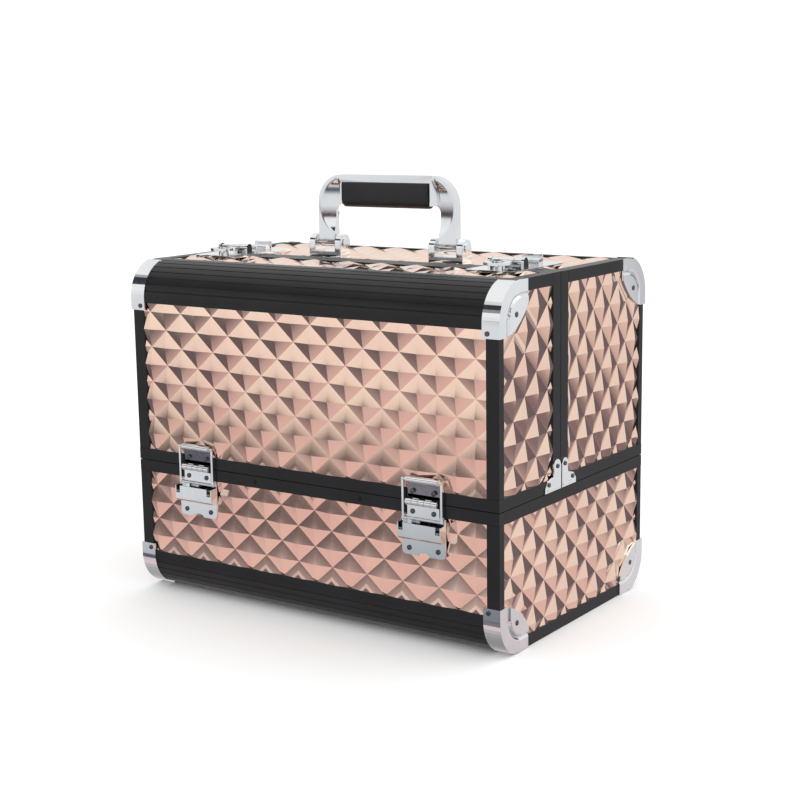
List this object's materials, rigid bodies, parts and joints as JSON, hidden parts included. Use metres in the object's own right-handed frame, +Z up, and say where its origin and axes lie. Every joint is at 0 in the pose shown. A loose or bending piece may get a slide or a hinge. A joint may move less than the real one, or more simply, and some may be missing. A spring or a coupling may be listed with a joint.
{
  "type": "makeup train case",
  "caption": "Rounded-edge makeup train case with a carry handle, stay hinges at front and rear, and lids that part at the top and carry cantilever trays.",
  "frame": {"origin": "on the floor under the middle of the case", "axes": "+X to the right along the front, +Y from front to rear, +Z up"},
  "size_m": [0.3594, 0.2454, 0.348],
  "materials": {
    "rose_panel": "embossed metallic rose-gold laminate on board",
    "black_rail": "black anodised, satin",
    "chrome": "bright plated",
    "grip": "moulded, satin black",
    "lining": "short black nap",
    "tray": "black, fine texture",
    "arm_steel": "plated steel strip"
  },
  "bodies": {
    "box": {"arm_brackets": "arm_steel", "box_bottom_panel": "rose_panel", "box_corner_caps": "chrome", "box_corner_rails": "black_rail", "box_edge_rails": "black_rail", "box_front_panel": "rose_panel", "box_lining": "lining", "box_rear_panel": "rose_panel", "box_rim_rails": "black_rail", "box_rivets": "chrome", "box_side_panels": "rose_panel", "hinge_lower_leaves": "chrome", "hinge_slide_pockets": "chrome"},
    "front_lid": {"front_hinge_upper_leaves": "chrome", "front_lid_corner_caps": "chrome", "front_lid_corner_rails": "black_rail", "front_lid_edge_rail": "black_rail", "front_lid_lining": "lining", "front_lid_outer_panel": "rose_panel", "front_lid_rim_rails": "black_rail", "front_lid_rivets": "chrome", "front_lid_seam_rails": "black_rail", "front_lid_side_panels": "rose_panel", "front_lid_top_panel": "rose_panel", "front_side_brackets": "chrome", "front_tray_studs": "arm_steel", "latch_bases": "chrome"},
    "front_hinge_links": {"front_hinge_links": "chrome"},
    "front_long_arms": {"front_long_arms": "arm_steel"},
    "front_short_arms": {"front_short_arms": "arm_steel"},
    "front_lower_tray": {"front_lower_tray": "tray"},
    "front_upper_tray": {"front_upper_tray": "tray"},
    "rear_lid": {"rear_hinge_upper_leaves": "chrome", "rear_lid_corner_caps": "chrome", "rear_lid_corner_rails": "black_rail", "rear_lid_edge_rail": "black_rail", "rear_lid_lining": "lining", "rear_lid_outer_panel": "rose_panel", "rear_lid_rim_rails": "black_rail", "rear_lid_rivets": "chrome", "rear_lid_seam_rails": "black_rail", "rear_lid_side_panels": "rose_panel", "rear_lid_top_panel": "rose_panel", "rear_side_brackets": "chrome", "rear_tray_studs": "arm_steel", "latch_keepers": "chrome", "handle_brackets": "chrome", "handle_pins": "chrome"},
    "rear_hinge_links": {"rear_hinge_links": "chrome"},
    "rear_long_arms": {"rear_long_arms": "arm_steel"},
    "rear_short_arms": {"rear_short_arms": "arm_steel"},
    "rear_lower_tray": {"rear_lower_tray": "tray"},
    "rear_upper_tray": {"rear_upper_tray": "tray"},
    "handle": {"handle_frame": "chrome", "handle_grip": "grip"},
    "left_latch_lever": {"left_latch_lever": "chrome"},
    "left_latch_hook": {"left_latch_hook": "chrome"},
    "right_latch_lever": {"right_latch_lever": "chrome"},
    "right_latch_hook": {"right_latch_hook": "chrome"}
  },
  "joints": [
    {"name": "front_lid_hinge", "type": "hinge", "parent": "box", "child": "front_lid", "pos_m": [0, -0.1176, 0.1126], "axis": [1, 0, 0], "range_deg": [0, 90]},
    {"name": "front_hinge_link_pivot", "type": "hinge", "parent": "front_lid", "child": "front_hinge_links", "pos_m": [0, -0.1176, 0.1296], "axis": [1, 0, 0], "range_deg": [-55.6, 0]},
    {"name": "front_long_arm_pivot", "type": "hinge", "parent": "box", "child": "front_long_arms", "pos_m": [0, -0.096, 0.12], "axis": [1, 0, 0], "range_deg": [0, 90]},
    {"name": "front_short_arm_pivot", "type": "hinge", "parent": "box", "child": "front_short_arms", "pos_m": [0, -0.072, 0.12], "axis": [1, 0, 0], "range_deg": [0, 90]},
    {"name": "front_lower_tray_pivot", "type": "hinge", "parent": "front_long_arms", "child": "front_lower_tray", "pos_m": [0, -0.07903, 0.13697], "axis": [1, 0, 0], "range_deg": [-90, 0]},
    {"name": "front_upper_tray_pivot", "type": "hinge", "parent": "front_lid", "child": "front_upper_tray", "pos_m": [0, -0.05396, 0.17624], "axis": [1, 0, 0], "range_deg": [-90, 0]},
    {"name": "rear_lid_hinge", "type": "hinge", "parent": "box", "child": "rear_lid", "pos_m": [0, 0.1176, 0.1126], "axis": [-1, 0, 0], "range_deg": [0, 90]},
    {"name": "rear_hinge_link_pivot", "type": "hinge", "parent": "rear_lid", "child": "rear_hinge_links", "pos_m": [0, 0.1176, 0.1296], "axis": [-1, 0, 0], "range_deg": [-55.6, 0]},
    {"name": "rear_long_arm_pivot", "type": "hinge", "parent": "box", "child": "rear_long_arms", "pos_m": [0, 0.096, 0.12], "axis": [-1, 0, 0], "range_deg": [0, 90]},
    {"name": "rear_short_arm_pivot", "type": "hinge", "parent": "box", "child": "rear_short_arms", "pos_m": [0, 0.072, 0.12], "axis": [-1, 0, 0], "range_deg": [0, 90]},
    {"name": "rear_lower_tray_pivot", "type": "hinge", "parent": "rear_long_arms", "child": "rear_lower_tray", "pos_m": [0, 0.07903, 0.13697], "axis": [-1, 0, 0], "range_deg": [-90, 0]},
    {"name": "rear_upper_tray_pivot", "type": "hinge", "parent": "rear_lid", "child": "rear_upper_tray", "pos_m": [0, 0.05396, 0.17624], "axis": [-1, 0, 0], "range_deg": [-90, 0]},
    {"name": "handle_hinge", "type": "hinge", "parent": "rear_lid", "child": "handle", "pos_m": [0, 0.0032, 0.291], "axis": [1, 0, 0], "range_deg": [-88, 88]},
    {"name": "left_latch_lever_hinge", "type": "hinge", "parent": "front_lid", "child": "left_latch_lever", "pos_m": [-0.1355, -0.032, 0.2865], "axis": [-1, 0, 0], "range_deg": [0, 80]},
    {"name": "left_latch_hook_hinge", "type": "hinge", "parent": "front_lid", "child": "left_latch_hook", "pos_m": [-0.1355, -0.032, 0.2865], "axis": [1, 0, 0], "range_deg": [0, 45]},
    {"name": "right_latch_lever_hinge", "type": "hinge", "parent": "front_lid", "child": "right_latch_lever", "pos_m": [0.1355, -0.032, 0.2865], "axis": [-1, 0, 0], "range_deg": [0, 80]},
    {"name": "right_latch_hook_hinge", "type": "hinge", "parent": "front_lid", "child": "right_latch_hook", "pos_m": [0.1355, -0.032, 0.2865], "axis": [1, 0, 0], "range_deg": [0, 45]}
  ],
  "couplings": [
    {"joint": "front_hinge_link_pivot", "follows": "front_lid_hinge", "ratio": -0.6167},
    {"joint": "front_long_arm_pivot", "follows": "front_lid_hinge", "ratio": 1},
    {"joint": "front_short_arm_pivot", "follows": "front_lid_hinge", "ratio": 1},
    {"joint": "front_lower_tray_pivot", "follows": "front_lid_hinge", "ratio": -1},
    {"joint": "front_upper_tray_pivot", "follows": "front_lid_hinge", "ratio": -1},
    {"joint": "rear_hinge_link_pivot", "follows": "rear_lid_hinge", "ratio": -0.6167},
    {"joint": "rear_long_arm_pivot", "follows": "rear_lid_hinge", "ratio": 1},
    {"joint": "rear_short_arm_pivot", "follows": "rear_lid_hinge", "ratio": 1},
    {"joint": "rear_lower_tray_pivot", "follows": "rear_lid_hinge", "ratio": -1},
    {"joint": "rear_upper_tray_pivot", "follows": "rear_lid_hinge", "ratio": -1}
  ]
}
